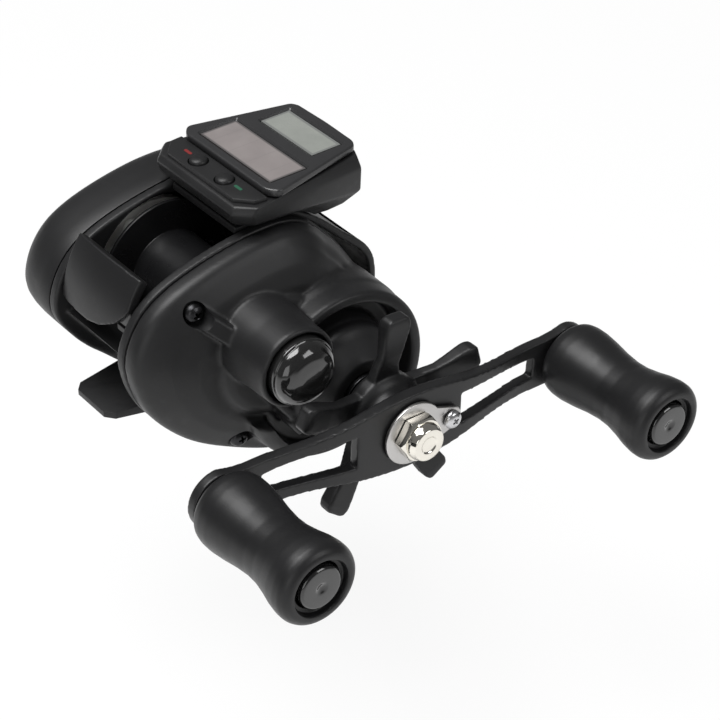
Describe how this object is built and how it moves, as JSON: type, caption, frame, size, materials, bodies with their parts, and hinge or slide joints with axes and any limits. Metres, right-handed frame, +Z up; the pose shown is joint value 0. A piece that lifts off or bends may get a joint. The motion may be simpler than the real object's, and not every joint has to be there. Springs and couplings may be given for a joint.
{
  "type": "baitcasting fishing reel",
  "caption": "Low-profile baitcasting fishing reel with a double crank handle, star drag, level-wind line guide and a solar-powered line counter on top.",
  "frame": {"origin": "middle of the flat underside of the reel foot, where it lies in the rod's seat", "axes": "+X toward the crank handle, +Y toward the rod tip, +Z up from the foot to the counter"},
  "size_m": [0.1205, 0.1142, 0.0684],
  "materials": {
    "black_body": "moulded matte black",
    "black_metal": "satin black",
    "black_gloss": "polished black",
    "soft_grip": "soft-touch black",
    "bezel_grey": "semi-gloss dark grey",
    "steel": "brushed",
    "chrome": "polished",
    "brass": "machined",
    "ceramic": "polished ceramic",
    "solar_glass": "clear cover over a cell",
    "screen_glass": "clear cover over a display",
    "board_green": "solder mask",
    "white_plastic": "natural moulded",
    "friction_felt": "woven fibre washer"
  },
  "bodies": {
    "body": {"frame": "black_body", "reel_foot": "black_metal", "foot_rivet_rear": "steel", "foot_rivet_front": "steel", "front_cowl": "black_body", "palm_cover": "black_body", "gear_cover": "black_body", "cover_screw_rear": "steel", "cover_screw_lower": "steel", "shaft_bearing": "steel", "one_way_bearing": "steel", "spool_bearing_palm": "steel", "spool_bearing_gear": "steel", "pinion_bearing": "steel", "guide_rod_upper": "steel", "guide_rod_lower": "steel", "cast_control_shim": "brass", "counter_housing": "black_body", "counter_bezel": "bezel_grey", "solar_panel": "solar_glass", "counter_screen": "screen_glass", "circuit_board": "board_green", "coin_cell": "steel"},
    "crank": {"drive_shaft": "steel", "bearing_sleeve": "steel", "main_gear": "brass", "drag_washer_carbon": "friction_felt", "drag_washer_steel": "steel", "guide_drive_gear": "white_plastic", "drag_spring_washer": "steel", "handle_arm": "black_metal", "nut_retainer": "steel", "handle_nut": "chrome", "retainer_screw": "steel", "knob_spindle_rear": "steel", "knob_spindle_front": "steel"},
    "spool": {"spool": "black_metal", "spool_shaft": "steel", "brake_rotor": "steel"},
    "yoke": {"pinion_yoke": "white_plastic"},
    "pinion": {"pinion_gear": "brass"},
    "worm": {"worm_shaft": "steel", "worm_gear": "white_plastic"},
    "guide": {"line_guide": "black_body", "guide_ring": "ceramic", "guide_pawl": "brass"},
    "star": {"star_drag": "black_metal"},
    "rear_knob": {"knob_rear": "soft_grip", "knob_cap_rear": "black_gloss"},
    "front_knob": {"knob_front": "soft_grip", "knob_cap_front": "black_gloss"},
    "tension_cap": {"cast_control_knob": "black_gloss"},
    "dial": {"brake_dial": "black_metal"},
    "magnets": {"brake_magnet_plate": "white_plastic"},
    "thumb": {"thumb_bar": "black_body", "clutch_slide": "steel"},
    "mode_button": {"button_mode": "black_gloss"},
    "reset_button": {"button_reset": "black_gloss"}
  },
  "joints": [
    {"name": "handle_spin", "type": "hinge", "parent": "body", "child": "crank", "pos_m": [0, 0.0181, 0.0058], "axis": [1, 0, 0], "continuous": true},
    {"name": "spool_spin", "type": "hinge", "parent": "body", "child": "spool", "pos_m": [0, 0, 0.0214], "axis": [1, 0, 0], "continuous": true},
    {"name": "thumb_bar_press", "type": "slide", "parent": "body", "child": "thumb", "axis": [0, 0, -1], "range_m": [0, 0.003]},
    {"name": "yoke_shift", "type": "slide", "parent": "body", "child": "yoke", "axis": [1, 0, 0], "range_m": [0, 0.0012]},
    {"name": "pinion_spin", "type": "hinge", "parent": "yoke", "child": "pinion", "pos_m": [0, 0, 0.0214], "axis": [1, 0, 0], "continuous": true},
    {"name": "worm_spin", "type": "hinge", "parent": "body", "child": "worm", "pos_m": [0, 0.0296, 0.0124], "axis": [1, 0, 0], "continuous": true},
    {"name": "line_guide_travel", "type": "slide", "parent": "body", "child": "guide", "axis": [1, 0, 0], "range_m": [-0.0073, 0.0073]},
    {"name": "star_drag_turn", "type": "hinge", "parent": "crank", "child": "star", "pos_m": [0, 0.0181, 0.0058], "axis": [1, 0, 0], "range_deg": [-180, 180]},
    {"name": "rear_knob_spin", "type": "hinge", "parent": "crank", "child": "rear_knob", "pos_m": [0, -0.02936, 0.00762], "axis": [1, 0, 0], "continuous": true},
    {"name": "front_knob_spin", "type": "hinge", "parent": "crank", "child": "front_knob", "pos_m": [0, 0.06556, 0.00398], "axis": [1, 0, 0], "continuous": true},
    {"name": "tension_cap_turn", "type": "hinge", "parent": "body", "child": "tension_cap", "pos_m": [0, 0, 0.0214], "axis": [1, 0, 0], "range_deg": [-180, 180]},
    {"name": "brake_dial_turn", "type": "hinge", "parent": "body", "child": "dial", "pos_m": [0, 0, 0.0214], "axis": [1, 0, 0], "range_deg": [0, 270]},
    {"name": "magnet_plate_shift", "type": "slide", "parent": "body", "child": "magnets", "axis": [1, 0, 0], "range_m": [0, 0.00105]},
    {"name": "mode_button_press", "type": "slide", "parent": "body", "child": "mode_button", "axis": [0, 0, -1], "range_m": [0, 0.0005], "stiffness_N_per_m": 400},
    {"name": "reset_button_press", "type": "slide", "parent": "body", "child": "reset_button", "axis": [0, 0, -1], "range_m": [0, 0.0005], "stiffness_N_per_m": 400}
  ],
  "couplings": [
    {"joint": "spool_spin", "follows": "handle_spin", "ratio": -6.3333},
    {"joint": "pinion_spin", "follows": "handle_spin", "ratio": -6.3333},
    {"joint": "worm_spin", "follows": "handle_spin", "ratio": -2},
    {"joint": "yoke_shift", "follows": "thumb_bar_press", "ratio": 0.4},
    {"joint": "magnet_plate_shift", "follows": "brake_dial_turn", "m_per_rad": 0.000222}
  ]
}
